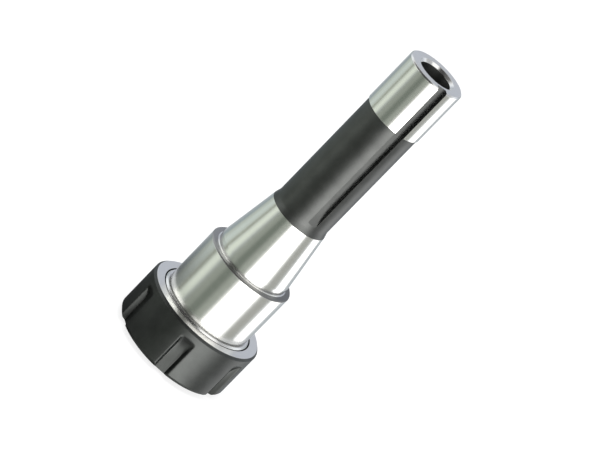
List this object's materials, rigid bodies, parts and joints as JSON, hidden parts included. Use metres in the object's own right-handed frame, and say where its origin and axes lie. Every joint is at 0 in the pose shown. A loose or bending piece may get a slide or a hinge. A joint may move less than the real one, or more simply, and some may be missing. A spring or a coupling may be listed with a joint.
{
  "type": "collet chuck holder",
  "caption": "Collet chuck holder with a keyed spindle-taper shank, a plain body, a slotted clamping nut and a slit spring collet.",
  "frame": {"origin": "centre of the nut's flat front face, on which the chuck stands", "axes": "+Z along the chuck's axis from the nut to the drawbar end; -Y towards the keyway"},
  "size_m": [0.05, 0.05, 0.1501],
  "materials": {
    "ground_steel": "ground bright, with a blackened waist between pilot and taper",
    "blackened_steel": "black oxide, with a ground rear face",
    "collet_steel": "finely ground"
  },
  "bodies": {
    "holder": {"holder_body": "ground_steel"},
    "collet": {"collet": "collet_steel"},
    "nut": {"clamping_nut": "blackened_steel"}
  },
  "joints": [
    {"name": "collet_travel", "type": "slide", "parent": "holder", "child": "collet", "axis": [0, 0, -1], "range_m": [0, 0.009]},
    {"name": "nut_turn", "type": "hinge", "parent": "collet", "child": "nut", "pos_m": [0, 0, 0.01], "axis": [0, 0, -1], "range_deg": [0, 2160]}
  ],
  "couplings": [
    {"joint": "collet_travel", "follows": "nut_turn", "m_per_rad": 0.00023873}
  ]
}
